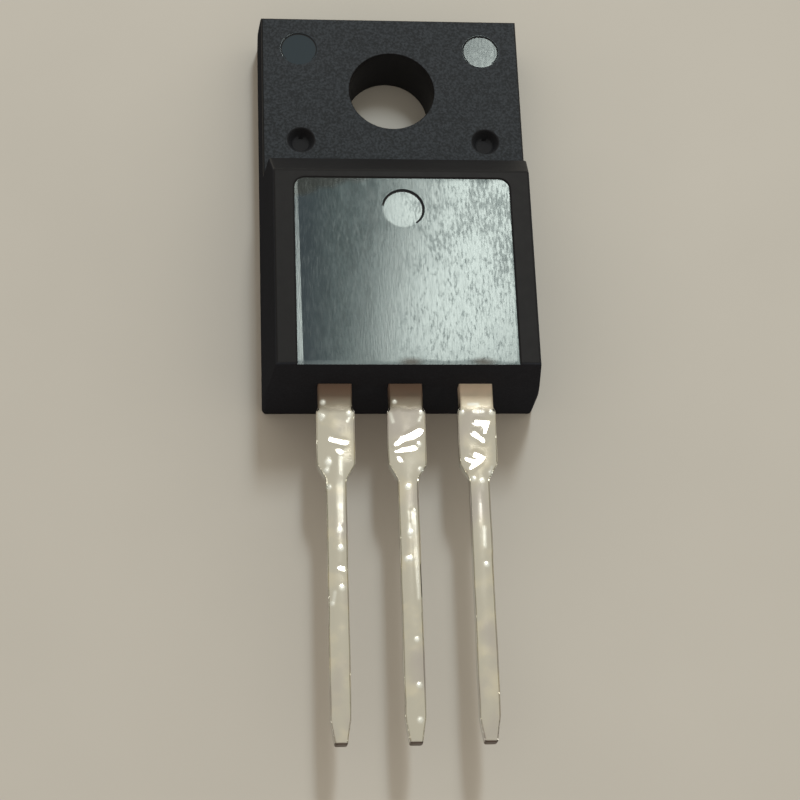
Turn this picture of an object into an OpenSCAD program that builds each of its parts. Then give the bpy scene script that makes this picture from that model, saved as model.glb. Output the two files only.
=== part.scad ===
// Power transistor in a fully moulded package with three leads, in millimetres.
// The origin is where the screw hole's axis meets the flat back. +Z points out of the front face,
// +Y points to the tab's top edge, and the leads run towards -Y.

/* [Moulding] */
// Widest width of the moulding, at its side parting line
body_w = 10.16; // [10:0.02:10.4]
// Length of the thin tab, along its front face
tab_l = 6.8; // [6.6:0.05:7.2]
// Length of the thick block, from the tab to the lead end
block_l = 8.8; // [8.6:0.05:9.4]
// Thickness of the tab
tab_t = 2.35; // [2.25:0.05:2.6]
// Thickness of the thick block
block_t = 4.7; // [4.6:0.05:5]
// Chamfer on the block's edge above the tab
block_chamfer = 1; // [0.6:0.05:1.2]
// Height of the side parting line above the back
side_parting = 1.3; // [1:0.05:1.6]
// Draft of the sides and of the tab's top edge, in front of the parting line (degrees)
front_draft = 6.4; // [3:0.2:8]
// Draft of the lead end, in front of the leads' back faces (degrees)
end_draft = 4; // [2:0.5:7]
// Draft of every wall behind its parting line (degrees)
back_draft = 1; // [0.5:0.25:3]
// Radius of the moulding's upright corners
corner_r = 0.3; // [0.15:0.05:0.5]

/* [Screw hole] */
// Diameter of the screw hole
hole_d = 3.18; // [3:0.02:3.4]
// Distance from the hole's axis to the tab's top edge
hole_to_top = 3.15; // [3:0.05:3.4]
// How far the hole's flared entry stands outside the hole, all round
entry_flare = 0.045; // [0.02:0.005:0.1]
// Depth of the flared entry
entry_depth = 0.6; // [0.3:0.05:0.9]

/* [Front panel] */
// Width of the polished panel sunk in the block's front face
panel_w = 7.98; // [7.4:0.02:8.4]
// Distance from the block's chamfer to the panel
panel_margin = 0.27; // [0.15:0.01:0.6]
// Depth of the panel below the front face
panel_depth = 0.04; // [0.02:0.01:0.12]
// Width of the panel's sloping rim
panel_rim = 0.05; // [0.03:0.01:0.2]
// Radius of the panel's two corners
panel_r = 0.45; // [0.35:0.05:0.8]
// Diameter of the round ejector mark in the panel
dimple_d = 1.56; // [1.2:0.02:1.8]
// Distance from the panel's top edge to the centre of that mark
dimple_drop = 1.27; // [1.1:0.01:2]
// Depth of that mark below the panel
dimple_depth = 0.08; // [0.04:0.01:0.12]

/* [Marks on the tab] */
// Diameter of the two ejector marks
ejector_d = 1.4; // [1.2:0.02:1.5]
// Distance from the tab's centre line to each ejector mark
ejector_x = 3.53; // [3.3:0.01:3.7]
// Distance from the tab's top edge down to each ejector mark
ejector_drop = 1.35; // [1.1:0.05:1.5]
// Depth of the ejector marks
ejector_depth = 0.06; // [0.03:0.01:0.12]
// Diameter of the mouths of the two support pin holes
support_d = 1.04; // [0.9:0.02:1.2]
// Diameter of their flat bottoms
support_floor_d = 0.54; // [0.4:0.02:0.7]
// Distance from the tab's centre line to each support pin hole
support_x = 3.52; // [3.35:0.01:3.6]
// Distance from the block up to each support pin hole
support_rise = 1.49; // [1.2:0.01:1.8]
// Resin left between a support pin hole and the metal under it
support_skin = 0.1; // [0.05:0.01:0.15]

/* [Leads] */
// Distance between the centre lines of two neighbouring leads
lead_pitch = 2.54; // [2.5:0.01:2.6]
// Thickness of the leads
lead_t = 0.5; // [0.4:0.02:0.6]
// Height of the leads' back faces above the back of the moulding
lead_z = 2.6; // [2.4:0.05:2.7]
// Length of the leads outside the moulding
lead_l = 12.95; // [9:0.05:14]
// Width of a lead where it leaves the moulding
bare_w = 1.22; // [1.1:0.02:1.3]
// Length of that first stretch, up to the trimmed tie bar
bare_l = 0.9; // [0.6:0.05:1.2]
// Width of a lead below the tie bar
wide_w = 1.38; // [1.32:0.02:1.5]
// Distance from the moulding to the end of the wide stretch
wide_end = 2.98; // [2.4:0.02:3.6]
// Length of the taper from the wide to the narrow stretch
neck_l = 0.57; // [0.3:0.01:0.9]
// Width of the narrow stretch
narrow_w = 0.74; // [0.64:0.02:0.9]
// Length of the pointed tip
tip_l = 0.9; // [0.4:0.05:1.4]
// Width of a lead at its cut end
tip_w = 0.45; // [0.3:0.01:0.6]
// How far the leads lean towards -X (degrees)
lead_lean = 0.4; // [-1:0.1:1]

/* [Collector plate] */
// Thickness of the plate that carries the chips
plate_t = 1.3; // [1.1:0.05:1.35]
// Resin behind the plate
plate_skin = 0.5; // [0.45:0.01:0.6]
// Resin beside the plate, on each side
plate_side = 0.95; // [0.85:0.05:1]
// Resin between the screw hole and the plate
hole_cover = 0.95; // [0.8:0.05:1]
// Distance from the tab's top edge to the plate's two arms
arm_cover = 2.75; // [2.6:0.05:3.1]
// Distance from the lead end of the moulding to the plate
plate_end_cover = 3.2; // [3.1:0.05:3.4]
// Radius of the plate's corners
plate_r = 0.4; // [0.2:0.05:0.6]
// Distance from the plate to the foot of the step up to the centre lead
riser_run = 0.2; // [0.1:0.05:0.3]
// Slope of that step (degrees)
riser_slope = 45; // [40:1:60]

/* [Bond posts] */
// Width of each bond post
post_w = 2.5; // [2.3:0.05:2.6]
// Length of each bond post
post_l = 1.8; // [1.6:0.05:2]
// Radius of the posts' corners
post_r = 0.3; // [0.1:0.05:0.4]
// How far each post's middle stands outside its lead's centre line
post_shift = 0.25; // [0.2:0.01:0.3]
// Resin between the posts and the lead end of the moulding
post_cover = 0.55; // [0.5:0.05:0.8]

/* [Chips and solder] */
// Side across the package of the transistor chip
transistor_w = 2.9; // [2.6:0.1:3]
// Side along the package of the transistor chip
transistor_l = 2.6; // [2.4:0.1:2.9]
// Side across the package of the diode chip
diode_w = 2.2; // [1.9:0.1:2.3]
// Side along the package of the diode chip
diode_l = 2.2; // [1.9:0.1:2.6]
// Thickness of both chips
chip_t = 0.2; // [0.12:0.01:0.3]
// Free space between the two chips
chip_gap = 1.1; // [1:0.05:1.3]
// Distance from the plate's lead end to the chips
chip_inset = 1.3; // [1.1:0.05:1.5]
// Thickness of the solder under each chip
solder_t = 0.06; // [0.04:0.01:0.1]
// How far the solder stands out round each chip
solder_fillet = 0.1; // [0.05:0.01:0.2]

/* [Bond wires] */
// Diameter of the two heavy bond wires
heavy_wire_d = 0.38; // [0.3:0.01:0.42]
// Diameter of the gate's bond wire
gate_wire_d = 0.125; // [0.1:0.005:0.15]
// Half of the angle through which each wire's loop turns (degrees)
loop_turn = 38; // [32:1:42]

/* [Hidden] */

$fn = 96;
cut = 0.5;           // how far a cut runs past the face that it opens
wire_fn = 32;

// Places along the package
step_y = hole_to_top - tab_l;
end_y = step_y - block_l;
panel_y = step_y - block_chamfer - panel_margin;
plate_top = plate_skin + plate_t;
plate_end_y = end_y + plate_end_cover;
arm_y = hole_to_top - arm_cover;
plate_half_w = body_w / 2 - plate_side;
notch_r = hole_d / 2 + hole_cover;
lead_top = lead_z + lead_t;
post_y = end_y + post_cover + post_l / 2;
post_x = lead_pitch + post_shift;

// Chips, side by side and centred on the plate
chips_w = transistor_w + chip_gap + diode_w;
transistor_x = (transistor_w - chips_w) / 2;
diode_x = (chips_w - diode_w) / 2;
transistor_y = plate_end_y + chip_inset + transistor_l / 2;
diode_y = plate_end_y + chip_inset + diode_l / 2;
chip_top = plate_top + solder_t + chip_t;

// Where the loops of the bond wires start and land. The gate's pad lies in the chip's corner, and
// the two heavy wires land side by side on the emitter's post.
pad_inset = 0.35;
landing_rise = 0.35;
landing_spread = 1.15;
landing_shift = -0.025;
emitter_pad_offset = [0.45, 0.15];
landing_y = post_y + landing_rise;
gate_pad = [transistor_x - transistor_w / 2 + pad_inset, transistor_y - transistor_l / 2 + pad_inset];
gate_landing = [-post_x, landing_y];
emitter_pad = [transistor_x, transistor_y] + emitter_pad_offset;
emitter_landing = [post_x + landing_shift - landing_spread / 2, landing_y];
diode_pad = [diode_x, diode_y];
diode_landing = [post_x + landing_shift + landing_spread / 2, landing_y];

// A bond wire's squashed foot, as shares of the wire's diameter
foot_l = 2.2;
foot_w = 1.25;
foot_t = 0.6;
foot_heel = 0.5;

resin_colour = [0.17, 0.18, 0.19];
tinned_colour = [0.74, 0.72, 0.66];
solder_colour = [0.6, 0.6, 0.6];
chip_colour = [0.35, 0.36, 0.42];
wire_colour = [0.85, 0.85, 0.86];

// A rectangle with round corners, centred on the origin
module rounded_rectangle(w, l, r) {
    square([w - 2 * r, l], center = true);
    square([w, l - 2 * r], center = true);
    for (sx = [-1, 1], sy = [-1, 1])
        translate([sx * (w / 2 - r), sy * (l / 2 - r)]) circle(r);
}

// Extrudes a profile drawn in Y and Z along X, centred on X = 0
module across(w) {
    translate([-w / 2, 0, 0]) rotate([90, 0, 90]) linear_extrude(w) children();
}

// Extrudes a profile drawn in X and Z along Y, from y1 up to y2
module along(y1, y2) {
    translate([0, y2, 0]) rotate([90, 0, 0]) linear_extrude(y2 - y1) children();
}

// The moulding seen from its side: tab, chamfered block and drafted ends
module side_profile() {
    tab_edge_y = hole_to_top + (tab_t - side_parting) * tan(front_draft);
    polygon([
        [end_y + lead_z * tan(back_draft), 0],
        [end_y, lead_z],
        [end_y + (block_t - lead_z) * tan(end_draft), block_t],
        [step_y - block_chamfer, block_t],
        [step_y, block_t - block_chamfer],
        [step_y, tab_t],
        [hole_to_top, tab_t],
        [tab_edge_y, side_parting],
        [tab_edge_y - side_parting * tan(back_draft), 0],
    ]);
}

// The moulding seen from its lead end: drafted sides that meet at the parting line
module end_profile() {
    front_half = body_w / 2 - (block_t - side_parting) * tan(front_draft);
    back_half = body_w / 2 - side_parting * tan(back_draft);
    polygon([
        [-back_half, 0], [-body_w / 2, side_parting], [-front_half, block_t],
        [front_half, block_t], [body_w / 2, side_parting], [back_half, 0],
    ]);
}

// The outer form of the moulding, before its holes and marks
module outer_form() {
    tab_edge_y = hole_to_top + (tab_t - side_parting) * tan(front_draft);
    intersection() {
        across(body_w) side_profile();
        along(end_y, tab_edge_y) end_profile();
        translate([0, (end_y + tab_edge_y) / 2, 0])
            linear_extrude(block_t) rounded_rectangle(body_w, tab_edge_y - end_y, corner_r);
    }
}

// The screw hole with its slightly flared entry
module screw_hole() {
    translate([0, 0, -cut]) cylinder(h = tab_t + 2 * cut, d = hole_d);
    translate([0, 0, tab_t - entry_depth])
        cylinder(h = entry_depth, d1 = hole_d, d2 = hole_d + 2 * entry_flare);
}

// The marks that the mould's ejector pins and support pins leave in the tab
module tab_marks() {
    support_floor = plate_top + support_skin;
    support_depth = tab_t - support_floor;
    slope = (support_d - support_floor_d) / support_depth;
    for (side = [-1, 1]) {
        translate([side * ejector_x, hole_to_top - ejector_drop, tab_t - ejector_depth])
            cylinder(h = ejector_depth + cut, d = ejector_d);
        translate([side * support_x, step_y + support_rise, support_floor])
            cylinder(h = 2 * support_depth, d1 = support_floor_d, d2 = support_floor_d + 2 * slope * support_depth);
    }
}

// The sunk panel in the front face: round corners at the top, open at the lead end
module front_panel() {
    panel_floor = block_t - panel_depth;
    rise = 2 * panel_depth;
    half = panel_w / 2 - panel_rim;
    spread = 2 * panel_rim;
    top = panel_y - panel_rim;
    corner = panel_r - panel_rim;
    low_y = end_y - cut;
    along(low_y, panel_y - panel_r) translate([0, panel_floor])
        polygon([[-half, 0], [-half - spread, rise], [half + spread, rise], [half, 0]]);
    across(panel_w - 2 * panel_r) translate([0, panel_floor])
        polygon([[low_y, 0], [top, 0], [top + spread, rise], [low_y, rise]]);
    for (side = [-1, 1])
        translate([side * (panel_w / 2 - panel_r), panel_y - panel_r, panel_floor])
            cylinder(h = rise, r1 = corner, r2 = corner + spread);
    translate([0, panel_y - dimple_drop, panel_floor - dimple_depth])
        cylinder(h = dimple_depth + cut, d = dimple_d);
}

// The black epoxy moulding, cast round everything else
module moulded_body() {
    color(resin_colour) difference() {
        outer_form();
        screw_hole();
        tab_marks();
        front_panel();
        metalwork();
    }
}

// A lead's outline from inside the moulding to its tip. Each corner is [distance from the
// moulding, half width], and both edges lean sideways from where the lead comes out.
module lead_outline(x, inside) {
    shape = [
        [-inside, bare_w / 2],
        [0, bare_w / 2],
        [bare_l, bare_w / 2],
        [bare_l + (wide_w - bare_w) / 2, wide_w / 2],
        [wide_end, wide_w / 2],
        [wide_end + neck_l, narrow_w / 2],
        [lead_l - tip_l, narrow_w / 2],
        [lead_l, tip_w / 2],
    ];
    function edge_point(p, side) = [x - max(p[0], 0) * tan(lead_lean) + side * p[1], end_y - p[0]];
    polygon(concat(
        [for (p = shape) edge_point(p, -1)],
        [for (i = [len(shape) - 1:-1:0]) edge_point(shape[i], 1)]
    ));
}

// A side lead with the bond post at its inner end. side is -1 for the left lead
module side_lead(side) {
    translate([0, 0, lead_z]) linear_extrude(lead_t) {
        lead_outline(side * lead_pitch, post_cover + post_l / 2);
        translate([side * post_x, post_y]) rounded_rectangle(post_w, post_l, post_r);
    }
}

module gate_lead() {
    color(tinned_colour) side_lead(-1);
}

module emitter_lead() {
    color(tinned_colour) side_lead(1);
}

// The plate under the chips, with an arm on each side of the screw hole
module collector_plate() {
    translate([0, 0, plate_skin]) linear_extrude(plate_t) difference() {
        translate([0, (arm_y + plate_end_y) / 2])
            rounded_rectangle(2 * plate_half_w, arm_y - plate_end_y, plate_r);
        circle(notch_r);
        translate([-notch_r, 0]) square([2 * notch_r, arm_y + cut]);
    }
}

// The centre lead, stepped down to the plate through a sloping riser
module collector_frame() {
    foot_z = plate_top - lead_t;
    bend_y = plate_end_y - riser_run;
    high_bend_y = bend_y - (lead_z - foot_z) / tan(riser_slope);
    mitre = lead_t * tan(riser_slope / 2);
    color(tinned_colour) union() {
        collector_plate();
        across(bare_w) polygon([
            [plate_end_y + cut, foot_z],
            [bend_y, foot_z],
            [high_bend_y, lead_z],
            [end_y, lead_z],
            [end_y, lead_top],
            [high_bend_y + mitre, lead_top],
            [bend_y + mitre, plate_top],
            [plate_end_y + cut, plate_top],
        ]);
        translate([0, 0, lead_z]) linear_extrude(lead_t) lead_outline(0, cut);
    }
}

// A flat block on the plate, centred at x, y, from z up
module tile(x, y, z, w, l, t) {
    translate([x - w / 2, y - l / 2, z]) cube([w, l, t]);
}

module transistor_chip() {
    color(chip_colour)
        tile(transistor_x, transistor_y, plate_top + solder_t, transistor_w, transistor_l, chip_t);
}

module diode_chip() {
    color(chip_colour) tile(diode_x, diode_y, plate_top + solder_t, diode_w, diode_l, chip_t);
}

module transistor_solder() {
    color(solder_colour) tile(transistor_x, transistor_y, plate_top,
        transistor_w + 2 * solder_fillet, transistor_l + 2 * solder_fillet, solder_t);
}

module diode_solder() {
    color(solder_colour) tile(diode_x, diode_y, plate_top,
        diode_w + 2 * solder_fillet, diode_l + 2 * solder_fillet, solder_t);
}

// A bond wire from the chip at p1 to a post at p2: one round loop between two squashed feet
module bond_wire(p1, p2, d) {
    span = norm(p2 - p1);
    rise = lead_top - chip_top;
    tilt = atan(rise / span);
    up = loop_turn + tilt;
    loop_r = norm([span, rise]) / (2 * sin(loop_turn));
    translate([p1[0], p1[1], chip_top]) rotate([0, 0, atan2(p2[1] - p1[1], p2[0] - p1[0])]) union() {
        wire_foot(-foot_l * d, 0, d);
        translate([loop_r * sin(up), 0, d / 2 - loop_r * cos(up)])
            rotate([90, 0, 0]) rotate([0, 0, 90 + up - 2 * loop_turn])
                rotate_extrude(angle = 2 * loop_turn) translate([loop_r, 0]) circle(d = d, $fn = wire_fn);
        wire_foot(span - foot_heel * d, rise, d);
    }
}

// The squashed end of a bond wire, from s along the wire and z up
module wire_foot(s, z, d) {
    translate([s, -foot_w * d / 2, z]) cube([(foot_l + foot_heel) * d, foot_w * d, foot_t * d]);
}

module gate_wire() {
    color(wire_colour) bond_wire(gate_pad, gate_landing, gate_wire_d);
}

module emitter_wire() {
    color(wire_colour) bond_wire(emitter_pad, emitter_landing, heavy_wire_d);
}

module diode_wire() {
    color(wire_colour) bond_wire(diode_pad, diode_landing, heavy_wire_d);
}

// Everything that the resin is cast round
module metalwork() {
    collector_frame();
    gate_lead();
    emitter_lead();
    transistor_solder();
    diode_solder();
    transistor_chip();
    diode_chip();
    gate_wire();
    emitter_wire();
    diode_wire();
}

moulded_body();
collector_frame();
gate_lead();
emitter_lead();
transistor_chip();
diode_chip();
transistor_solder();
diode_solder();
gate_wire();
emitter_wire();
diode_wire();
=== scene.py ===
import math
import bmesh
import bpy
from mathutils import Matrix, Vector, noise


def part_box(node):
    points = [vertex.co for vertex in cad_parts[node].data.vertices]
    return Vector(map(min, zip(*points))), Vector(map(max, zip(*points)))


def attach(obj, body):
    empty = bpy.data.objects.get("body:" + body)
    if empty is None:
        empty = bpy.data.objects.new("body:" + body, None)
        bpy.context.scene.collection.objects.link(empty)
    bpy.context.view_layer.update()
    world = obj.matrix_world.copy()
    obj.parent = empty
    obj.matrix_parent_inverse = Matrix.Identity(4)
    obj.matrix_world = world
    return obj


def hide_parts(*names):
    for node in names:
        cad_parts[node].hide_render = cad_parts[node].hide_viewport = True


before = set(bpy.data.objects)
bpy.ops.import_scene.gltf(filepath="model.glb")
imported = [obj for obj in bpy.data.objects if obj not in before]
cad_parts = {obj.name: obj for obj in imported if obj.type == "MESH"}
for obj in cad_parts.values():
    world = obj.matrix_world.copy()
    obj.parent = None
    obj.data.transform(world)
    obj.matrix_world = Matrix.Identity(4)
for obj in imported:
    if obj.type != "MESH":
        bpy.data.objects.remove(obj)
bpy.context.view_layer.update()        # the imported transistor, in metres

mm = 0.001

# Where the moulding's shapes lie, in millimetres, as in the CAD model. Round shapes are written
# as (x, y, radius).
places = {
    "tabTop": 2.35,
    "blockTop": 4.7,
    "panelFloor": 4.66,
    "panelTop": -4.92,
    "stepFace": -3.65,
    "chamferTop": -4.65,      # where the chamfer above the step meets the front face
    "chamferFoot": 3.7,       # height of its lower edge
    "leadEnd": -12.45,
    "dimple": (0.0, -6.19, 0.78),
    "leftMark": (-3.53, 1.80, 0.70),
    "rightMark": (3.53, 1.80, 0.70),
    "pinHoles": ((-3.52, -2.16, 0.52), (3.52, -2.16, 0.52)),
    "screwHole": (0.0, 0.0, 1.59),
}

# Limits that tell the moulding's faces and edges apart, in millimetres
zones = {
    "side": 4.5,              # further out than this lie the block's sides
    "tabSide": 4.6,           # the same for the tab
    "stepSide": 4.62,         # and for the edges beside the step
    "step": (-4.7, -3.6),     # the step and its chamfer lie between these
    "aboveTab": 2.37,
    "topEdge": 2.8,           # the tab's top edge lies beyond this
    "end": -12.2,             # the lead end of the block's front face lies beyond this
    "backEnd": -12.0,         # the same for the back
    "panelSide": 4.0,         # just outside the panel's floor
    "rimSide": 4.1,           # just outside its rim
    "rim": (-12.25, -4.8),
    "corner": (4.9, 3.1),     # the tab's upright corners lie beyond these, along X and Y
    "parting": 1.3,           # height of the line at which the two halves of the mould met
    "floorSide": 3.96,        # the panel's polished floor lies inside this
    "floor": (4.6, 4.69),     # and between these heights
    "strip": -3.7,            # its left strip lies left of this
    "dimple": 4.5,            # the round mark in the panel lies above this height
    "holes": (0.02, 2.34),    # heights between which the walls of the holes lie
    "marks": (2.2, 2.3499),   # the same for the ejector marks
    "tabFace": 2.3,           # the tab's front face lies above this height
    "endFace": -12.1,         # the block's lead end lies beyond this
}


# Picking things in edit mode

def alone(piece):
    bpy.ops.object.select_all(action="DESELECT")
    piece.select_set(True)
    bpy.context.view_layer.objects.active = piece


def pickEdges(piece, wanted):
    mesh = bmesh.from_edit_mesh(piece.data)
    bpy.ops.mesh.select_all(action="DESELECT")
    count = 0
    for edge in mesh.edges:
        if wanted(edge):
            edge.select_set(True)
            count += 1
    bmesh.update_edit_mesh(piece.data)
    return count


def pickFaces(piece, wanted):
    mesh = bmesh.from_edit_mesh(piece.data)
    bpy.ops.mesh.select_all(action="DESELECT")
    count = 0
    for face in mesh.faces:
        if wanted(face):
            face.select_set(True)
            count += 1
    bmesh.update_edit_mesh(piece.data)
    return count


def middle(edge):
    return (edge.verts[0].co + edge.verts[1].co) / 2


def isSharp(edge, least=20.0):
    return len(edge.link_faces) == 2 and edge.calc_face_angle(0.0) > math.radians(least)


def near(value, target, slack=0.02):
    return abs(value - target) < slack


def within(value, limits):
    return limits[0] < value < limits[1]


def onRing(point, ring, slack=0.06):
    reach = math.hypot(point.x - ring[0], point.y - ring[1])
    return abs(reach - ring[2]) < slack


def copyInMillimetres(nodeName, pieceName, cuts=()):
    # a merged copy of a CAD node, a thousand times larger while it is worked on. The cuts are
    # planes across X that run through its holes, so that no flat face is left with a hole in it.
    alone(bpy.data.objects[nodeName])
    bpy.ops.object.duplicate()
    piece = bpy.context.view_layer.objects.active
    piece.name = pieceName
    piece.data.name = pieceName
    piece.scale = (1 / mm, 1 / mm, 1 / mm)
    bpy.ops.object.transform_apply(location=False, rotation=False, scale=True)
    bpy.ops.object.mode_set(mode="EDIT")
    bpy.ops.mesh.select_all(action="SELECT")
    bpy.ops.mesh.remove_doubles(threshold=0.0002)
    for place in cuts:
        bpy.ops.mesh.select_all(action="SELECT")
        bpy.ops.mesh.bisect(plane_co=(place, 0, 0), plane_no=(1, 0, 0), threshold=0.00001)
        bpy.ops.mesh.mark_seam()
    bpy.ops.mesh.select_all(action="SELECT")
    bpy.ops.mesh.dissolve_limited(angle_limit=math.radians(0.4), delimit={"SEAM"})
    bpy.ops.object.mode_set(mode="OBJECT")
    return piece


def backToMetres(piece):
    alone(piece)
    piece.scale = (mm, mm, mm)
    bpy.ops.object.transform_apply(location=False, rotation=False, scale=True)


# The moulding

moulding = {
    "cuts": (-3.525, 0, 3.525),   # planes across X through the middles of the holes
    "outerRound": 0.085,      # radius of the outer edges
    "backRound": 0.05,        # radius of the edges at the back
    "rimRound": 0.012,        # radius of the panel's rim
    "markRound": 0.02,        # radius at the ejector marks
    "holeRound": 0.05,        # radius at the holes' mouths
    "border": -3.81,          # where the panel's polish turns up to its left edge
    "borderLean": 0.011,      # that line's lean, so that the strip is wider below
    "borderRise": 0.0055,     # how far that edge stands above the rest
    "borderWidth": 0.10,      # width of the strip over which it rises
    "shallowest": 0.004,      # least depth of a mark's floor
    "smooth": 38,             # degrees between faces up to which they shade as one
}

# The marks of the mould's pins, in millimetres and degrees
ejectorMark = {
    "depthWas": 0.06,         # depth in the CAD model
    "depth": 0.06,            # depth at the upper side
    "floorRadius": 0.655,
    "tilt": 2.3,              # by how much its floor rises towards the surface
    "sideways": 0.0,          # by how much its floor faces the lamp
}
dimpleMark = {
    "depthWas": 0.08,
    "depth": 0.07,
    "floorRadius": 0.70,
    "tilt": 2.6,
    "sideways": 1.4,
}


def tiltMarks(piece):
    # the mould's pins stood a little skew: the floors of their marks rise to the surface at the
    # lower side and their walls slope
    mesh = bmesh.from_edit_mesh(piece.data)
    for ring, top, mark in ((places["leftMark"], places["tabTop"], ejectorMark),
                            (places["rightMark"], places["tabTop"], ejectorMark),
                            (places["dimple"], places["panelFloor"], dimpleMark)):
        floorRadius = mark["floorRadius"]
        for vert in mesh.verts:
            spot = vert.co
            if onRing(spot, ring) and near(spot.z, top - mark["depthWas"], 0.01):
                spot.x = ring[0] + (spot.x - ring[0]) * floorRadius / ring[2]
                spot.y = ring[1] + (spot.y - ring[1]) * floorRadius / ring[2]
                down = ring[1] + floorRadius - spot.y
                depth = mark["depth"] - math.tan(math.radians(mark["tilt"])) * down
                depth += math.tan(math.radians(mark["sideways"])) * (spot.x - ring[0])
                spot.z = top - max(moulding["shallowest"], depth)
    bmesh.update_edit_mesh(piece.data)


def raiseBorder(piece):
    # a narrow strip along the panel's left edge, where the polish turns a little to the side
    pickFaces(piece, lambda face: near(face.calc_center_median().z, places["panelFloor"], 0.001)
              and face.normal.z > 0.99 and face.calc_center_median().y < places["panelTop"])
    bpy.ops.mesh.bisect(plane_co=(moulding["border"], places["panelTop"], 0), threshold=0.00001,
                        plane_no=(1, moulding["borderLean"], 0))
    mesh = bmesh.from_edit_mesh(piece.data)
    stripEdge = moulding["border"] - moulding["borderWidth"]
    for vert in mesh.verts:
        if near(vert.co.z, places["panelFloor"], 0.001) and -zones["panelSide"] < vert.co.x < stripEdge:
            vert.co.z += moulding["borderRise"]
    bmesh.update_edit_mesh(piece.data)


def outerEdge(edge):
    spot = middle(edge)
    if not isSharp(edge):
        return False
    atEnd = spot.y < zones["end"] or near(spot.y, places["chamferTop"])
    if near(spot.z, places["blockTop"]) and (abs(spot.x) > zones["side"] or atEnd):
        return True
    if near(spot.y, places["stepFace"], 0.04) and near(spot.z, places["chamferFoot"]):
        return True
    if abs(spot.x) > zones["stepSide"] and within(spot.y, zones["step"]) and spot.z > zones["aboveTab"]:
        return True
    onTab = near(spot.z, places["tabTop"]) and spot.y > zones["step"][1]
    return onTab and (abs(spot.x) > zones["tabSide"] or spot.y > zones["topEdge"])


def backEdge(edge):
    spot = middle(edge)
    outside = abs(spot.x) > zones["side"] or spot.y > zones["topEdge"] or spot.y < zones["backEnd"]
    return isSharp(edge) and near(spot.z, 0.0) and outside


def panelEdge(edge):
    spot = middle(edge)
    inside = abs(spot.x) < zones["rimSide"] and within(spot.y, zones["rim"])
    onDimple = onRing(spot, places["dimple"])
    onRim = near(spot.z, places["blockTop"], 0.01) or near(spot.z, places["panelFloor"], 0.01)
    return isSharp(edge, 15) and inside and not onDimple and onRim


def markEdge(edge):
    spot = middle(edge)
    if not isSharp(edge):
        return False
    if near(spot.z, places["panelFloor"], 0.001) and onRing(spot, places["dimple"]):
        return True
    onMark = onRing(spot, places["leftMark"]) or onRing(spot, places["rightMark"])
    return onMark and near(spot.z, places["tabTop"], 0.001)


def holeEdge(edge):
    spot = middle(edge)
    if not isSharp(edge) or not (near(spot.z, places["tabTop"]) or near(spot.z, 0.0)):
        return False
    return any(onRing(spot, ring) for ring in (places["screwHole"], *places["pinHoles"]))


def cornerEdge(edge):
    # the tab's upright corners, whose facets run out to a point at the top
    spot = middle(edge)
    tall = abs(edge.verts[0].co.z - edge.verts[1].co.z)
    outX, outY = zones["corner"]
    return tall > 0.1 and spot.z > zones["parting"] and abs(spot.x) > outX and spot.y > outY


def inStrip(face):
    # the narrow strip along the panel's left edge
    spot = face.calc_center_median()
    leans = 0.012 < face.normal.x < 0.08 and face.normal.z > 0.99
    return leans and -zones["panelSide"] < spot.x < zones["strip"] and spot.z > zones["floor"][0]


def dressMoulding():
    piece = copyInMillimetres("moulded_body", "resin_moulding", moulding["cuts"])
    bpy.ops.object.mode_set(mode="EDIT")
    tiltMarks(piece)
    raiseBorder(piece)
    for wanted, radius, steps in ((outerEdge, moulding["outerRound"], 4),
                                  (backEdge, moulding["backRound"], 2),
                                  (panelEdge, moulding["rimRound"], 3),
                                  (markEdge, moulding["markRound"], 2),
                                  (holeEdge, moulding["holeRound"], 3)):
        count = pickEdges(piece, wanted)
        bpy.ops.mesh.bevel(offset=radius, segments=steps, affect="EDGES", clamp_overlap=True,
                           loop_slide=True)
        print("moulding: rounded", count, "edges by", radius)
    bpy.ops.object.mode_set(mode="OBJECT")
    bpy.ops.object.shade_smooth_by_angle(angle=math.radians(moulding["smooth"]))
    bpy.ops.object.mode_set(mode="EDIT")
    print("moulding:", pickFaces(piece, inStrip), "faces in the panel's left strip")
    bpy.ops.mesh.faces_shade_flat()
    print("moulding:", pickEdges(piece, cornerEdge), "edges at the tab's corners")
    bpy.ops.mesh.mark_sharp()
    bpy.ops.object.mode_set(mode="OBJECT")
    bpy.ops.object.modifier_add(type="WEIGHTED_NORMAL")
    piece.modifiers[-1].keep_sharp = True
    piece.modifiers[-1].weight = 100
    bpy.ops.object.modifier_apply(modifier=piece.modifiers[-1].name)
    return piece


# The leads

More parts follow.
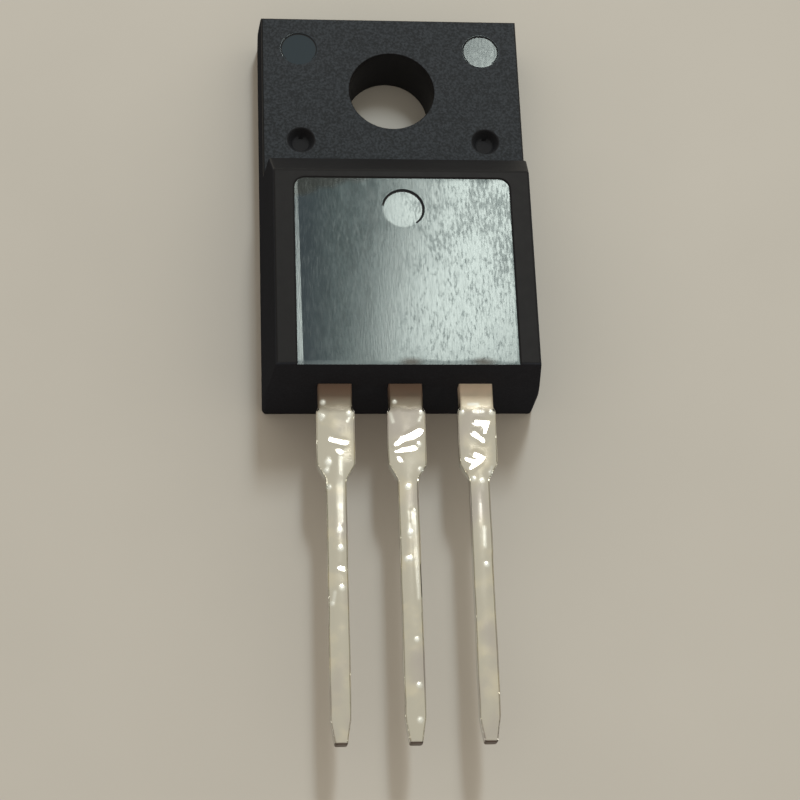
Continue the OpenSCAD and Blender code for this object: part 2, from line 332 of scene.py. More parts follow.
leads = {
    "pitch": 2.54,            # from one lead to the next
    "cut": -12.2,             # where the outer stretch joins the stretch inside the resin
    "gap": 0.1,               # how far from there each is cut off, for the strip between them
    "grain": 0.035,           # side of the remeshed squares
    "softening": 28,          # rounds of smoothing that give the edges their radius
    "lean": 0.4,              # degrees by which the leads lean to the left
    "coatFrom": -13.42,       # where the solder coat starts
    "coat": 0.0003,           # how far the coat stands proud of the bare metal
    "coatLevel": 0.6,         # share of that by which the bare metal sinks instead
    "edgeWave": 0.05,         # how far the coat's start wanders
    "edgeRate": 3,            # how many times in a millimetre
    "edgeFade": 0.2,          # length over which the coat starts
    "crown": 0.03,            # how far the coat stands higher in the middle than at its edges
    "crownMost": 1.2,         # and no further than this share of it
    "crownStart": 1.0,        # length over which that starts
    "dip": 0.1,               # by how much the coat thins out below its start
    "dipFrom": -12.9,
    "dipLength": 4.0,         # over this length, ever more gently
    "back": 0.005,            # slope by which it thickens again below that
    "wave": 0.005,            # height of the coat's soft waves
    "waveRates": (2.2, 1.1, 2),
    "sideWave": 0.02,         # the same on the sides
    "sideRate": 0.9,
    "waveStart": 0.9,         # length over which both start
    "blur": 0.12,             # how softly a flat place runs out
    "haze": 0.09,             # how softly a satin place runs out
    "runHaze": 0.15,          # how satin the flat places are, and how much painted highlight colour they take
    "seed": (3.1, 7.7, 1.3),
    "smooth": 35,             # degrees between faces up to which they shade as one
}

# Half width of a lead at places along it, in millimetres
halfWidths = ((-12.2, 0.61), (-13.35, 0.61), (-13.43, 0.69), (-15.43, 0.69), (-16.0, 0.37),
              (-24.5, 0.37), (-25.4, 0.225))

# Flat places in the solder as (width, slope along X, slope along Y, points), in millimetres. With
# no slope along Y it is a ribbon between two points, which follows the coat.
gateRuns = (
    (0.14, 0.037, 0.032, ((-2.75, -14.53), (-2.22, -14.63))),
    (0.12, 0.036, 0.035, ((-2.45, -14.94), (-2.43, -14.97))),
    (0.12, 0.036, 0.069, ((-2.50, -19.22), (-2.32, -19.31))),
    (0.16, 0.026, None, ((-2.40, -15.05), (-2.43, -17.55))),
)
collectorRuns = (
    (0.17, 0.017, 0.031, ((0.45, -14.16), (-0.25, -14.58), (-0.42, -14.72))),
    (0.13, 0.018, 0.035, ((-0.42, -14.97), (-0.10, -14.90), (0.22, -14.80))),
    (0.13, 0.019, 0.037, ((-0.32, -15.22), (-0.30, -15.28))),
    (0.14, 0.014, None, ((0.12, -17.20), (0.20, -20.30))),
)
emitterRuns = (
    (0.12, -0.005, 0.028, ((2.50, -13.83), (2.90, -13.91), (2.78, -14.28))),
    (0.12, -0.003, 0.031, ((2.41, -14.26), (2.70, -14.61))),
    (0.12, -0.001, 0.038, ((2.08, -15.28), (2.32, -15.34))),
    (0.13, -0.003, 0.038, ((2.40, -15.06), (2.60, -15.15), (2.55, -15.36), (2.20, -15.62))),
)

# Satin places, where the solder set slowly and is rougher, and which are painted a lighter, bluish
# white as a highlight, as (amount, width, points)
gateSatinHighlights = (
    (0.36, 0.14, ((-2.40, -15.05), (-2.40, -15.8))),
    (0.15, 0.18, ((-2.40, -15.8), (-2.43, -17.55))),
    (0.8, 0.10, ((-1.92, -13.48), (-2.12, -13.82))),
    (0.8, 0.14, ((-3.12, -13.55), (-3.06, -13.75))),
    (0.7, 0.14, ((-2.82, -15.2), (-2.88, -15.7))),
    (0.6, 0.12, ((-2.72, -20.1), (-2.80, -20.55))),
)
collectorSatinHighlights = (
    (0.15, 0.14, ((0.12, -17.2), (0.16, -18.6))),
    (0.35, 0.16, ((0.16, -18.6), (0.20, -20.3))),
    (0.8, 0.10, ((0.62, -13.48), (0.44, -13.80))),
    (0.7, 0.12, ((-0.58, -13.55), (-0.50, -13.85))),
    (0.3, 0.16, ((-0.06, -17.7), (-0.04, -18.1))),
)
emitterSatinHighlights = (
    (0.9, 0.11, ((2.25, -13.2), (2.58, -13.2))),
    (0.9, 0.11, ((2.42, -13.47), (2.76, -13.47))),
    (0.2, 0.10, ((2.60, -15.9), (2.62, -16.4))),
    (0.5, 0.12, ((2.60, -17.8), (2.59, -18.5))),
    (0.6, 0.10, ((2.98, -15.55), (2.90, -15.85))),
)

# Small beads of solder as (x, y, radius, height), in millimetres
gateBeads = (
    (-2.99, -13.12, 0.12, 0.008), (-3.02, -13.64, 0.14, 0.006), (-2.05, -13.55, 0.13, 0.006),
    (-2.84, -15.35, 0.16, 0.005), (-2.92, -15.66, 0.12, 0.005), (-2.85, -16.27, 0.14, 0.008),
    (-2.49, -17.85, 0.14, 0.003), (-2.47, -18.52, 0.15, 0.007), (-2.46, -19.94, 0.14, 0.007),
    (-2.83, -20.5, 0.12, 0.005),
)
collectorBeads = (
    (-0.42, -13.1, 0.10, 0.006), (0.55, -13.52, 0.12, 0.006), (0.41, -14.7, 0.12, 0.007),
    (0.45, -15.64, 0.14, 0.006), (-0.05, -16.29, 0.14, 0.006), (-0.04, -17.96, 0.13, 0.005),
    (-0.18, -18.93, 0.14, 0.009), (-0.05, -18.93, 0.14, 0.009), (0.06, -21.8, 0.12, 0.005),
    (0.09, -23.4, 0.13, 0.010), (0.07, -24.6, 0.14, 0.006),
)
emitterBeads = (
    (1.99, -13.5, 0.11, 0.006), (3.08, -13.5, 0.13, 0.006), (2.28, -15.99, 0.13, 0.008),
    (2.93, -15.76, 0.11, 0.006), (2.62, -16.05, 0.13, 0.003), (2.62, -19.15, 0.13, 0.008),
)


def halfWidth(y):
    # of a lead, at this place along it
    for (nearY, nearHalf), (farY, farHalf) in zip(halfWidths[:-1], halfWidths[1:]):
        if y > farY:
            return nearHalf + (farHalf - nearHalf) * min(1.0, max(0.0, (nearY - y) / (nearY - farY)))
    return halfWidths[-1][1]


def toRun(x, y, points):
    # distance from a place to a line through some points
    best = math.inf
    for start, stop in zip(points[:-1], points[1:]):
        alongX, alongY = stop[0] - start[0], stop[1] - start[1]
        share = ((x - start[0]) * alongX + (y - start[1]) * alongY) / (alongX ** 2 + alongY ** 2)
        share = min(1.0, max(0.0, share))
        best = min(best, math.hypot(x - start[0] - share * alongX, y - start[1] - share * alongY))
    return best


def easeOut(value):
    # 1 below 0, 0 above 1 and smooth between them
    value = min(1.0, max(0.0, value))
    return 1 - value * value * (3 - 2 * value)


def drop(x, y, middleX):
    # how far the coat lies below its highest line: it is crowned, and thins out below the coat's start
    lean = math.tan(math.radians(leads["lean"]))
    share = (x - middleX - (y - places["leadEnd"]) * lean) / halfWidth(y)
    below = max(0.0, leads["dipFrom"] - y)
    rest = max(0.0, 1 - below / leads["dipLength"])
    dip = leads["dip"] * (1 - rest * rest) - leads["back"] * max(0.0, below - leads["dipLength"])
    crown = leads["crown"] * min(leads["crownMost"], share * share)
    crown *= easeOut((y - leads["coatFrom"]) / leads["crownStart"] + 0.5)
    return -crown - max(0.0, dip)


def pourSolder(piece, middleX, runs, beads, satinHighlight):
    # moves the outer points: a crowned coat with soft waves, the tilted faces of the runs and beads,
    # and writes down for the material where the coat is satin and painted lighter as a highlight
    seed = Vector(leads["seed"]) * len(runs)
    rateX, rateY, rateZ = leads["waveRates"]
    spots = [vert.co.copy() for vert in piece.data.vertices]
    normals = [vert.normal.copy() for vert in piece.data.vertices]
    moved = []
    satinHighlightShares = []
    for spot, outward in zip(spots, normals):
        edgeWave = leads["edgeWave"] * noise.noise(Vector((spot.x * leads["edgeRate"], 0, 0)) + seed)
        coated = easeOut((spot.y - leads["coatFrom"] - edgeWave) / leads["edgeFade"] + 0.5)
        lift = leads["coat"] * (coated - leads["coatLevel"])
        soft = noise.noise(Vector((spot.x * rateX, spot.y * rateY, spot.z * rateZ)) + seed)
        slow = noise.noise(Vector((outward.x, spot.y * leads["sideRate"], 0)) + seed)
        waved = easeOut((spot.y - leads["coatFrom"]) / leads["waveStart"] + 1)
        lift += waved * (leads["wave"] * soft + leads["sideWave"] * (slow - 0.3) * abs(outward.x))
        place = spot + outward * lift
        change, weight, haze = 0.0, 0.0, 0.0
        if outward.z > 0.3:
            place.z += drop(spot.x, spot.y, middleX)
            for width, slopeX, slopeY, points in runs:
                reach = toRun(spot.x, spot.y, points)
                if reach < width / 2 + leads["blur"]:
                    centreX = sum(point[0] for point in points) / len(points)
                    centreY = sum(point[1] for point in points) / len(points)
                    if slopeY is None:
                        sideways = (points[1][0] - points[0][0]) / (points[1][1] - points[0][1])
                        centreX += sideways * (spot.y - centreY)
                        flat = drop(centreX, spot.y, middleX) - slopeX * (spot.x - centreX)
                    else:
                        flat = drop(centreX, centreY, middleX) - slopeX * (spot.x - centreX)
                        flat -= slopeY * (spot.y - centreY)
                    share = easeOut((reach - width / 2) / leads["blur"])
                    change += (flat - drop(spot.x, spot.y, middleX)) * share
                    weight += share
                    if slopeY is not None:
                        haze = max(haze, leads["runHaze"] * share)
            place.z += change / max(1.0, weight) * outward.z
            for beadX, beadY, radius, height in beads:
                reach = math.hypot(spot.x - beadX, spot.y - beadY)
                if reach < radius:
                    place.z += height * easeOut(reach / radius)
        moved.extend(place)
        for amount, width, points in satinHighlight:
            reach = toRun(spot.x, spot.y, points)
            haze = max(haze, amount * easeOut((reach - width / 2) / leads["haze"] + 0.5))
        # the beads are satin too, and so are painted lighter as highlights
        for beadX, beadY, radius, height in beads:
            haze = max(haze, easeOut((math.hypot(spot.x - beadX, spot.y - beadY) / radius - 0.3) / 0.9))
        satinHighlightShares.append(haze if outward.z > 0.1 else 0.0)
    piece.data.vertices.foreach_set("co", moved)
    piece.data.attributes["satinHighlight"].data.foreach_set("value", satinHighlightShares)
    piece.data.update()


def dressLead(nodeName, pieceName, middleX, runs, beads, satinHighlight):
    # the stretch outside the resin is remeshed and rounded, and joined again to the rest
    inner = copyInMillimetres(nodeName, pieceName)
    alone(inner)
    bpy.ops.object.duplicate()
    outer = bpy.context.view_layer.objects.active
    for part, keepOuter, place in ((inner, False, leads["cut"] + leads["gap"]),
                                   (outer, True, leads["cut"])):
        alone(part)
        bpy.ops.object.mode_set(mode="EDIT")
        bpy.ops.mesh.select_all(action="SELECT")
        bpy.ops.mesh.bisect(plane_co=(0, place, 0), plane_no=(0, 1, 0), use_fill=keepOuter,
                            clear_inner=not keepOuter, clear_outer=keepOuter, threshold=0.00001)
        bpy.ops.object.mode_set(mode="OBJECT")
    alone(outer)
    outer.data.remesh_voxel_size = leads["grain"]
    outer.data.remesh_voxel_adaptivity = 0
    bpy.ops.object.voxel_remesh()
    bpy.ops.object.modifier_add(type="SMOOTH")
    outer.modifiers[-1].factor = 0.5
    outer.modifiers[-1].iterations = leads["softening"]
    bpy.ops.object.modifier_apply(modifier=outer.modifiers[-1].name)
    for part in (inner, outer):
        part.data.attributes.new("satinHighlight", "FLOAT", "POINT")
    pourSolder(outer, middleX, runs, beads, satinHighlight)
    bpy.ops.object.mode_set(mode="EDIT")      # opens the remeshed end again, inside the resin
    bpy.ops.mesh.select_all(action="SELECT")
    bpy.ops.mesh.bisect(plane_co=(0, leads["cut"] - leads["gap"], 0), plane_no=(0, 1, 0),
                        clear_outer=True, threshold=0.00001)
    bpy.ops.object.mode_set(mode="OBJECT")
    outer.select_set(True)
    inner.select_set(True)
    bpy.context.view_layer.objects.active = inner
    bpy.ops.object.join()
    bpy.ops.object.mode_set(mode="EDIT")
    pickEdges(inner, lambda edge: edge.is_boundary)
    bpy.ops.mesh.bridge_edge_loops()
    bpy.ops.object.mode_set(mode="OBJECT")
    bpy.ops.object.shade_smooth_by_angle(angle=math.radians(leads["smooth"]))
    print("lead:", pieceName, len(inner.data.polygons), "faces")
    return inner


# Materials: sums on a wire add Math nodes to its tree

class Wire:
    def __init__(self, finish, socket):
        self.finish = finish
        self.socket = socket

    def maths(self, operation, *values, clamp=False):
        inputs = dict(enumerate(values))
        return self.finish.node("ShaderNodeMath", {"operation": operation, "use_clamp": clamp}, inputs)

    def __add__(self, other):
        return self.maths("ADD", self, other)

    def __radd__(self, other):
        return self.maths("ADD", other, self)

    def __sub__(self, other):
        return self.maths("SUBTRACT", self, other)

    def __rsub__(self, other):
        return self.maths("SUBTRACT", other, self)

    def __mul__(self, other):
        return self.maths("MULTIPLY", self, other)

    def __rmul__(self, other):
        return self.maths("MULTIPLY", other, self)

    def __abs__(self):
        return self.maths("ABSOLUTE", self)

    def clamped(self):
        return self.maths("ADD", self, 0.0, clamp=True)

    def least(self, other):
        return self.maths("MINIMUM", self, other)

    def most(self, other):
        return self.maths("MAXIMUM", self, other)

    def root(self):
        return self.maths("SQRT", self)

    def rise(self, low, high):
        # 0 below low, 1 above high and smooth between them
        inputs = {"Value": self, "From Min": low, "From Max": high}
        return self.finish.node("ShaderNodeMapRange", {"interpolation_type": "SMOOTHSTEP"}, inputs)


class Finish:
    def __init__(self, name):
        self.material = bpy.data.materials.new(name)
        self.material.use_nodes = True
        self.tree = self.material.node_tree
        self.shader = next(node for node in self.tree.nodes if node.type == "BSDF_PRINCIPLED")
        self.place = self.node("ShaderNodeTexCoord", {}, {}, "Object")

    def node(self, kind, settings, inputs, output=0):
        made = self.tree.nodes.new(kind)
        for key, value in settings.items():
            setattr(made, key, value)
        self.feed(made, inputs)
        return Wire(self, made.outputs[output])

    def feed(self, made, inputs):
        for key, value in inputs.items():
            socket = made.inputs[key]
            if isinstance(value, Wire):
                self.tree.links.new(value.socket, socket)
            elif socket.type == "RGBA" and len(value) == 3:
                socket.default_value = (*value, 1)
            else:
                socket.default_value = value

    def axes(self):
        # the three coordinates of the place, in millimetres
        inputs = {0: self.place, "Scale": 1 / mm}
        scaled = self.node("ShaderNodeVectorMath", {"operation": "SCALE"}, inputs)
        return [self.node("ShaderNodeSeparateXYZ", {}, {0: scaled}, axis) for axis in "XYZ"]

    def grain(self, size, detail=2.0, stretch=(1, 1, 1), shift=(0, 0, 0), rough=0.5):
        # noise whose spots are about this size, in millimetres
        scale = tuple(1 / (mm * size * factor) for factor in stretch)
        inputs = {"Vector": self.place, "Location": shift, "Scale": scale}
        mapped = self.node("ShaderNodeMapping", {}, inputs)
        inputs = {"Vector": mapped, "Scale": 1.0, "Detail": detail, "Roughness": rough}
        return self.node("ShaderNodeTexNoise", {}, inputs)

    def mix(self, mask, first, second):
        inputs = {0: mask, 6: first, 7: second}
        return self.node("ShaderNodeMix", {"data_type": "RGBA"}, inputs, 2)

    def bump(self, height, distance):
        # height 1 stands this many millimetres proud
        inputs = {"Height": height, "Distance": distance * mm, "Strength": 1.0}
        return self.node("ShaderNodeBump", {}, inputs)

    def surface(self, inputs):
        self.feed(self.shader, inputs)
        return self.material


resin = {
    # the tab's tones are lighter than the walls': painted light on the tab, and painted shade on the
    # chamfer, the step, the margins and the other faces
    "tab": ((0.0095, 0.0115, 0.0145), (0.046, 0.054, 0.066)),      # dark and light speckles
    "walls": ((0.0074, 0.0077, 0.0094), (0.0120, 0.0125, 0.0155)),
    "flanks": ((0.023, 0.025, 0.030), (0.038, 0.041, 0.049)),
    "end": ((0.022, 0.024, 0.030), (0.038, 0.041, 0.050)),
    # darker than the tab: painted shade in the holes and on the walls of the marks
    "shadedHoles": ((0.014, 0.015, 0.018), (0.024, 0.025, 0.030)),
    "gloss": 0.17,
    "grainHeight": 0.004,
}


def resinFinish(name, tones, roughness, speckle, gloss=resin["gloss"]):
    # charge-filled epoxy out of a spark-eroded mould: a fine, even, matt grain
    finish = Finish(name)
    fine = finish.grain(0.085, 3.0, rough=0.6)
    coarse = finish.grain(0.32, 2.0, shift=(4, 2, 0))
    cloud = finish.grain(3.5, 2.0, shift=(1, 6, 3))
    tone = (0.7 * fine.rise(0.36, 0.68) * speckle + 0.2 * coarse + 0.2 * cloud).clamped()
    colour = finish.mix(tone, tones[0], tones[1])
    height = speckle * fine + 0.5 * coarse
    rough = roughness + 0.1 * (coarse - 0.5) + 0.2 * speckle * (fine - 0.5)
    return finish.surface({
        "Base Color": colour,
        "Roughness": rough,
        "Specular IOR Level": gloss,
        "Normal": finish.bump(height, resin["grainHeight"]),
    })


panel = {
    # the panel's near-black is lifted and tinted blue: painted reflection of the bluish room over the
    # resin's own dark colour
    "colours": ((0.015, 0.032, 0.042), (0.030, 0.055, 0.068)),
    # painted shade: darker and bluer towards the panel's left end, where it shows no lamp
    "shadedFarLeft": (0.003, 0.014, 0.030),
    # colour of the panel's darker upper left corner
    "upperLeftColour": (0.006, 0.008, 0.010),
    # the marks' near-black tinted blue: painted reflection of the bluish room
    "markColourAndReflection": (0.010, 0.020, 0.034),
    "smudge": (0.040, 0.026, 0.020),
    "smudges": (0.07, 2.66),       # where its lower edge is stained, above two of the leads
    "sheen": (0.88, 1.0, 1.0),
    "gloss": 0.58,
    "roughness": 0.105,
}


def panelFinish(name, roughness, used, upperLeftColour=panel["upperLeftColour"]):
    # polished part of the mould: smooth, with fine wipe marks along Y and dull specks. Used says how
    # worn it is. The masks are 1 on the panel's right half, in its upper part, along its matt edges,
    # where its specks stand close, on the specks, on the smudges and in its darker upper left corner.
    finish = Finish(name)
    across, along = finish.axes()[:2]
    streak = finish.grain(0.05, 2.0, stretch=(1, 9, 1))
    wide = finish.grain(0.35, 2.0, stretch=(1, 5, 1), shift=(3, 1, 0))
    fleck = finish.grain(0.07, 2.0, stretch=(1, 3.2, 1), shift=(7, 2, 0))
    cloud = finish.grain(1.3, 3.0, shift=(0, 3, 5))
    uneven = cloud - 0.5
    right = (across + 2 * uneven).rise(-1.5, 1.0)
    upper = (along + 3 * uneven).rise(-11.0, -6.0)
    rim = (across - 0.008 * along).rise(3.93, 4.08)
    rim = rim.most((along + 0.4 * uneven).rise(-5.2, -5.0) * cloud * right)
    rim = rim.most(0.6 * (1 - (along + 0.4 * uneven).rise(-12.25, -12.12)))
    dense = (0.3 + 0.7 * upper) * cloud.rise(0.35, 0.6)
    dense = dense + 0.4 * upper * across.rise(1.5, 3.6)
    flecks = (fleck + 0.16 * dense).rise(0.51, 0.82) * (0.15 + 0.85 * right)
    stainAndShade = 0.0
    for place in panel["smudges"]:
        aside = 2.4 * (across - place)
        above = 6 * (along - places["leadEnd"] - 0.25) + 0.8 * uneven
        stainAndShade = (1 - (aside * aside + above * above).root().rise(0.1, 1.5)).most(stainAndShade)
    worn = 0.04 * streak.rise(0.45, 0.7) + 0.11 * flecks + 0.16 * rim + 0.12 * stainAndShade
    rough = roughness + used * worn + 0.03 * (wide - 0.5)
    height = streak + 0.6 * wide
    # darker at the upper left corner, and over all of a mark
    upperLeft = (along - 0.25 * across + 1.2 * uneven).rise(-4.9, -4.5)
    # two tones at random, both lifted and tinted blue as painted reflection
    colour = finish.mix(0.6 * fleck.rise(0.35, 0.65) + 0.4 * wide.rise(0.35, 0.65), *panel["colours"])
    # painted shade towards the panel's left end
    colour = finish.mix(across.rise(-4.0, -2.0), panel["shadedFarLeft"], colour)
    colour = finish.mix(stainAndShade, finish.mix(upperLeft, colour, upperLeftColour), panel["smudge"])
    return finish.surface({
        "Base Color": colour,
        "Roughness": rough,
        "Specular IOR Level": panel["gloss"],
        "Specular Tint": panel["sheen"],
        "Normal": finish.bump(height, 0.0004),
    })


solder = {
    "colour": (0.64, 0.63, 0.58),
    "cream": (0.72, 0.69, 0.60),
    "lilac": (0.57, 0.55, 0.54),
    # a lighter, bluish white painted on the satin places: painted highlight
    "satinHighlight": (0.74, 0.76, 0.74),
    "roughness": 0.1,
    "satinRoughness": 0.32,
    "bareRoughness": 0.42,         # of the metal above the coat
    "bareFrom": (-13.25, -12.55),  # where its colour turns into that next to the moulding, mostly painted shade on two leads
    "cut": (-25.36, -25.3),        # where the tip's cut end starts
    "cutColour": (0.10, 0.07, 0.055),
}


def leadFinish(name, bareColour, stainAndShade):
    # solder below the tie bar, bare metal above it and the cut copper of the tip. Next to the
    # moulding the bare metal turns brown on two leads, mostly painted shade and painted reflection of
    # the dark moulding, and copper on the third. The coat is pale from its start, and gets smooth a
    # little below that.
    finish = Finish(name)
    along = finish.axes()[1]
    satinHighlight = finish.node("ShaderNodeAttribute", {"attribute_name": "satinHighlight"}, {}, 2)
    edge = finish.grain(0.35, 2.0, shift=(2, 0, 0))
    cloud = finish.grain(0.8, 3.0, shift=(5, 1, 2))
    lilac = finish.grain(1.1, 1.0, stretch=(1, 1.5, 1), shift=(8, 3, 1))
    fine = finish.grain(0.08, 2.0, shift=(0, 4, 1))
    coatEdge = along + 0.25 * (edge - 0.5)
    coated = 1 - coatEdge.rise(leads["coatFrom"] - 0.16, leads["coatFrom"] + 0.20)
    smooth = 1 - coatEdge.rise(leads["coatFrom"] - 0.02, leads["coatFrom"] + 0.28)
    # next to the moulding: brown on two leads, mostly painted shade and reflection of the moulding
    nearMoulding = (along + 0.3 * (edge - 0.5)).rise(*solder["bareFrom"])
    bare = finish.mix(nearMoulding, bareColour, stainAndShade)
    tin = finish.mix(cloud.rise(0.45, 0.7), solder["colour"], solder["cream"])
    tin = finish.mix(lilac.rise(0.45, 0.75), tin, solder["lilac"])
    colour = finish.mix(coated, bare, tin)
    # the satin places take a lighter, bluish white: painted highlight
    colour = finish.mix(satinHighlight, colour, solder["satinHighlight"])
    cutEnd = 1 - along.rise(*solder["cut"])
    colour = finish.mix(cutEnd, colour, solder["cutColour"])
    rough = smooth * (solder["roughness"] + 0.04 * cloud.rise(0.4, 0.75))
    rough = rough + (1 - smooth) * solder["bareRoughness"]
    rough = rough * (1 - satinHighlight) + solder["satinRoughness"] * satinHighlight + 0.02 * (fine - 0.5) + 0.3 * cutEnd
    return finish.surface({
        "Base Color": colour,
        "Roughness": rough,
        "Metallic": 1 - 0.6 * cutEnd - 0.7 * nearMoulding * (1 - satinHighlight),
        "Normal": finish.bump(cloud + 0.08 * fine, 0.003),
    })


chip = {
    "pad": 0.2,               # distance of the aluminium pad from the chip's edges
    "ring": (0.1, 0.14),      # the guard ring lies between these distances
    "silicon": ((0.045, 0.05, 0.07), (0.075, 0.08, 0.105)),
    "metal": (0.80, 0.80, 0.81),
    "solder": ((0.36, 0.36, 0.37), (0.58, 0.57, 0.56)),
    "wire": ((0.76, 0.76, 0.77), (0.86, 0.86, 0.86)),
}


def chipFinish(nodeName):
    # sawn silicon with an aluminium pad and a guard ring on top
    low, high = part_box(nodeName)
    centre = (low + high) / 2 / mm
    half = (high - low) / 2 / mm
    finish = Finish(nodeName + "_finish")
    across, along, up = finish.axes()
    inset = (half.x - abs(across - centre.x)).least(half.y - abs(along - centre.y))
    onTop = up.rise(high.z / mm - 0.01, high.z / mm - 0.004)
    ringStart, ringStop = chip["ring"]
    pad = inset.rise(chip["pad"], chip["pad"] + 0.015) * onTop
    ring = inset.rise(ringStart, ringStart + 0.01) * (1 - inset.rise(ringStop, ringStop + 0.01)) * onTop
    fine = finish.grain(0.03, 2.0)
    colour = finish.mix(fine, *chip["silicon"])
    colour = finish.mix((pad + ring).clamped(), colour, chip["metal"])
    return finish.surface({
        "Base Color": colour,
        "Metallic": (pad + ring).clamped(),
        "Roughness": 0.22 + 0.25 * pad * fine,
        "Normal": finish.bump(fine, 0.001),
    })


def dieSolderFinish():
    # soft solder that froze under the chips, a little grainy
    finish = Finish("die_solder")
    lump = finish.grain(0.12, 3.0)
    colour = finish.mix(lump, *chip["solder"])
    return finish.surface({
        "Base Color": colour,
        "Metallic": 1.0,
        "Roughness": 0.3 + 0.25 * lump,
        "Normal": finish.bump(lump, 0.006),
    })


def wireFinish():
    # drawn aluminium wire
    finish = Finish("aluminium_wire")
    drawn = finish.grain(0.02, 2.0, stretch=(1, 8, 1))
    colour = finish.mix(drawn, *chip["wire"])
    return finish.surface({
        "Base Color": colour,
        "Metallic": 1.0,
        "Roughness": 0.25 + 0.15 * drawn,
        "Normal": finish.bump(drawn, 0.001),
    })


def give(piece, materials):
    piece.data.materials.clear()
    for material in materials:
        piece.data.materials.append(material)


def inRing(spot, ring, slack):
    return math.hypot(spot.x - ring[0], spot.y - ring[1]) < ring[2] + slack


def finishName(spot, normal):
    # which finish a place on the moulding has
    level = normal.z > 0.95
    holes = (places["screwHole"], *places["pinHoles"])
    marks = (places["leftMark"], places["rightMark"])
    if within(spot.z, zones["holes"]) and any(inRing(spot, ring, 0.01) for ring in holes):
        return "holes"
    if within(spot.z, zones["marks"]) and any(inRing(spot, ring, 0.02) for ring in marks):
        if not level:
            return "holes"
        return "leftMark" if spot.x < 0 else "rightMark"
    if spot.z > zones["dimple"] and inRing(spot, places["dimple"], 0.0):
        return "panel" if level else "holes"
    onFloor = level and within(spot.z, zones["floor"])
    if onFloor and abs(spot.x) < zones["floorSide"] and spot.y < places["panelTop"]:
        return "panel"
    if level and spot.y > places["stepFace"] and spot.z > zones["tabFace"]:
        return "tab"
    if abs(spot.x) > zones["side"] and abs(normal.x) > 0.75 and spot.y < places["stepFace"]:
        return "flanks"
    if normal.y < -0.5 and spot.y < zones["endFace"]:
        return "end"
    return "walls"


def paintMoulding(piece):
    # the marks' colour holds a painted reflection, a blue tint
    markColourAndReflection = panel["markColourAndReflection"]
    finishes = {
        # besides their grain, the walls and the tab differ in tone as painted shade and painted light
        "walls": resinFinish("smooth_resin_painted_shade", resin["walls"], 0.45, 0.35),
        "tab": resinFinish("grained_resin_painted_light", resin["tab"], 0.6, 1.0),
        # its darker tones are painted shade in the holes
        "holes": resinFinish("resin_in_holes_painted_shade", resin["shadedHoles"], 0.6, 0.2),
        "panel": panelFinish("polished_panel", panel["roughness"], 1.0),
        "leftMark": panelFinish("polished_mark", 0.06, 0.2, markColourAndReflection),
        "flanks": resinFinish("flank_resin", resin["flanks"], 0.7, 0.35, gloss=0.0),
        "end": resinFinish("end_resin", resin["end"], 0.7, 0.35, gloss=0.0),
        "rightMark": panelFinish("worn_mark", 0.11, 0.4, markColourAndReflection),
    }
    give(piece, finishes.values())
    indices = {name: index for index, name in enumerate(finishes)}
    for face in piece.data.polygons:
        face.material_index = indices[finishName(face.center / mm, face.normal)]


# Light, floor and camera

light = {
    "windowPlace": (57, 171, 300),     # millimetres: the pale window that the gloss shows
    "windowTurn": -13,                 # degrees
    "windowSizes": ((26, 128), (29, 138), (32, 148)),
    "windowStep": 3,                   # one above another
    "windowGlow": 5.5,
    "windowColour": (1.0, 0.99, 0.92),
    "keyPlace": (37, 168, 300),        # the lamp that casts the shadows
    "keySize": (26, 95),
    "keyGlow": 41,
    "keyColour": (0.80, 0.94, 1.0),
    "towards": (0.25, 0.45, 0.86),     # the bright side of the room
    "bright": (0.70, 0.66, 0.555),
    "dim": (0.30, 0.205, 0.155),
    "change": (-0.25, 0.8),            # between these cosines of the angle it turns from dim to bright
}

stage = {
    "size": 3.0,          # metres
    "below": 0.01,        # millimetres under the part, so that no two faces share a place
    "colours": ((0.545, 0.520, 0.485), (0.595, 0.567, 0.53)),
}

# A camera fitted to the photograph
view = {
    "place": (-7.365, -39.285, 70.477),     # millimetres
    "turn": (21.380, -5.245, -2.087),       # degrees
    "lens": 91.446,
    "sensor": 36,
    "clip": (0.001, 50),                    # metres
}


def floorFinish():
    finish = Finish("pale_sheet")
    cloud = finish.grain(9.0, 3.0)
    colour = finish.mix(cloud, *stage["colours"])
    return finish.surface({"Base Color": colour, "Roughness": 0.9, "Specular IOR Level": 0.2})


def setStage():
    bpy.ops.object.select_all(action="DESELECT")
    bpy.ops.mesh.primitive_plane_add(size=stage["size"], location=(0, 0, -stage["below"] * mm))
    floor = bpy.context.view_layer.objects.active
    floor.name = "floor"
    bpy.ops.object.transform_apply(location=True, rotation=True, scale=True)
    give(floor, (floorFinish(),))


def addLamp(name, place, size, glow, colour):
    # glow is the brightness of the lamp's face, where white paper in full light is about 1
    bpy.ops.object.light_add(type="AREA", location=[mm * value for value in place])
    lamp = bpy.context.view_layer.objects.active
    lamp.name = name
    lamp.data.shape = "RECTANGLE"
    lamp.data.size = size[0] * mm
    lamp.data.size_y = size[1] * mm
    lamp.data.energy = glow * math.pi * size[0] * size[1] * mm * mm
    lamp.data.color = colour
    return lamp


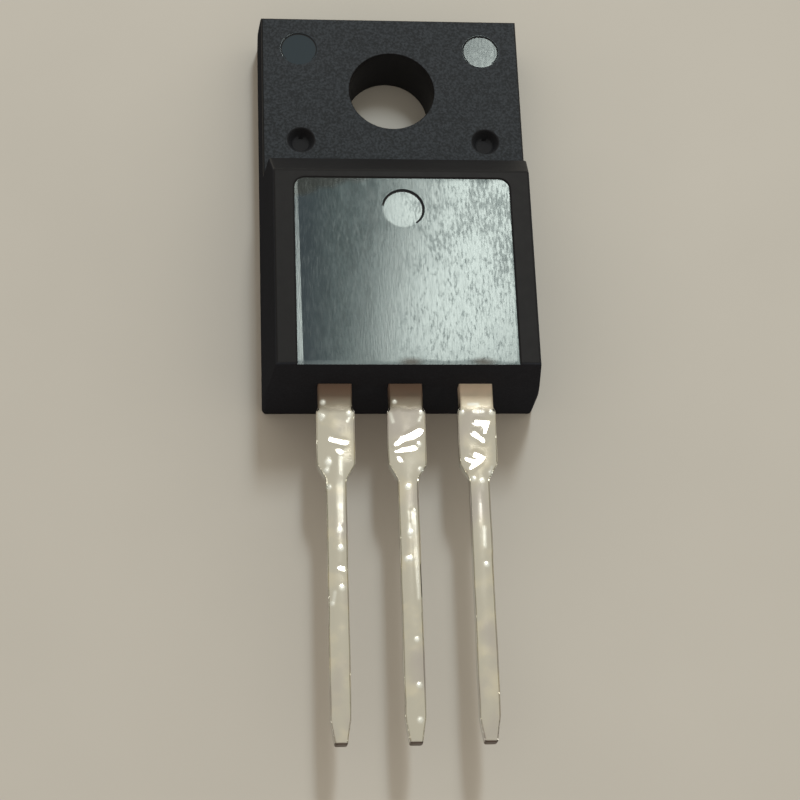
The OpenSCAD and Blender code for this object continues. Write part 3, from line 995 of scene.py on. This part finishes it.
def setLight():
    # the window is three lamps, each a little higher than the last, so that none hides another
    windowX, windowY, windowZ = light["windowPlace"]
    for count, size in enumerate(light["windowSizes"]):
        place = (windowX, windowY, windowZ + light["windowStep"] * count)
        window = addLamp("window_" + str(count), place, size, light["windowGlow"], light["windowColour"])
        window.rotation_euler.z = math.radians(light["windowTurn"])
    key = addLamp("key_lamp", light["keyPlace"], light["keySize"], light["keyGlow"], light["keyColour"])
    key.visible_glossy = False
    world = bpy.data.worlds.new("room")
    bpy.context.scene.world = world
    world.use_nodes = True
    nodes = world.node_tree.nodes
    links = world.node_tree.links
    background = next(node for node in nodes if node.type == "BACKGROUND")
    coordinates = nodes.new("ShaderNodeTexCoord")
    towards = nodes.new("ShaderNodeVectorMath")
    towards.operation = "DOT_PRODUCT"
    towards.inputs[1].default_value = light["towards"]
    rise = nodes.new("ShaderNodeMapRange")
    rise.interpolation_type = "SMOOTHSTEP"
    rise.inputs["From Min"].default_value = light["change"][0]
    rise.inputs["From Max"].default_value = light["change"][1]
    colour = nodes.new("ShaderNodeMix")
    colour.data_type = "RGBA"
    colour.inputs[6].default_value = (*light["dim"], 1)
    colour.inputs[7].default_value = (*light["bright"], 1)
    links.new(coordinates.outputs["Generated"], towards.inputs[0])
    links.new(towards.outputs["Value"], rise.inputs["Value"])
    links.new(rise.outputs["Result"], colour.inputs[0])
    links.new(colour.outputs[2], background.inputs["Color"])
    background.inputs["Strength"].default_value = 1.0


def setCamera():
    turn = [math.radians(value) for value in view["turn"]]
    bpy.ops.object.camera_add(location=[mm * value for value in view["place"]], rotation=turn)
    camera = bpy.context.view_layer.objects.active
    camera.data.lens = view["lens"]
    camera.data.sensor_width = view["sensor"]
    camera.data.clip_start, camera.data.clip_end = view["clip"]
    bpy.context.scene.camera = camera


setStage()
setLight()
setCamera()
bpy.context.scene.view_settings.view_transform = "Standard"
print("stage, lamp and camera are set")

body = dressMoulding()
backToMetres(body)
paintMoulding(body)
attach(body, "root")
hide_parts("moulded_body")
print("moulding is dressed")

# Colours of the bare metal above the solder: two leads are dull, and the third is copper, made brighter
# than the metal as painted light
# brown: mostly painted shade and painted reflection of the dark moulding next to it
mouldingShadeBrown = (0.30, 0.205, 0.155)
grey = (0.25, 0.225, 0.185)
# the third lead's copper and pale metal are painted brighter than the metal: painted light where the
# moulding shades them
copperAndPaintedLight = (1.0, 0.84, 0.68)
paleAndPaintedLight = (0.74, 0.69, 0.58)
for nodeName, middleX, runs, beads, satinHighlight, bare, stainAndShade in (
        ("gate_lead", -leads["pitch"], gateRuns, gateBeads, gateSatinHighlights, grey, mouldingShadeBrown),
        ("collector_frame", 0.0, collectorRuns, collectorBeads, collectorSatinHighlights, grey, mouldingShadeBrown),
        ("emitter_lead", leads["pitch"], emitterRuns, emitterBeads, emitterSatinHighlights, paleAndPaintedLight, copperAndPaintedLight)):
    pieceName = "dipped_" + nodeName
    piece = dressLead(nodeName, pieceName, middleX, runs, beads, satinHighlight)
    backToMetres(piece)
    give(piece, (leadFinish(pieceName + "_finish", bare, stainAndShade),))
    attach(piece, "root")
    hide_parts(nodeName)

for nodeName in ("transistor_chip", "diode_chip"):
    give(bpy.data.objects[nodeName], (chipFinish(nodeName),))
dieSolder = dieSolderFinish()
for nodeName in ("transistor_solder", "diode_solder"):
    give(bpy.data.objects[nodeName], (dieSolder,))
aluminium = wireFinish()
for nodeName in ("gate_wire", "emitter_wire", "diode_wire"):
    give(bpy.data.objects[nodeName], (aluminium,))
print("leads and inner parts are dressed")
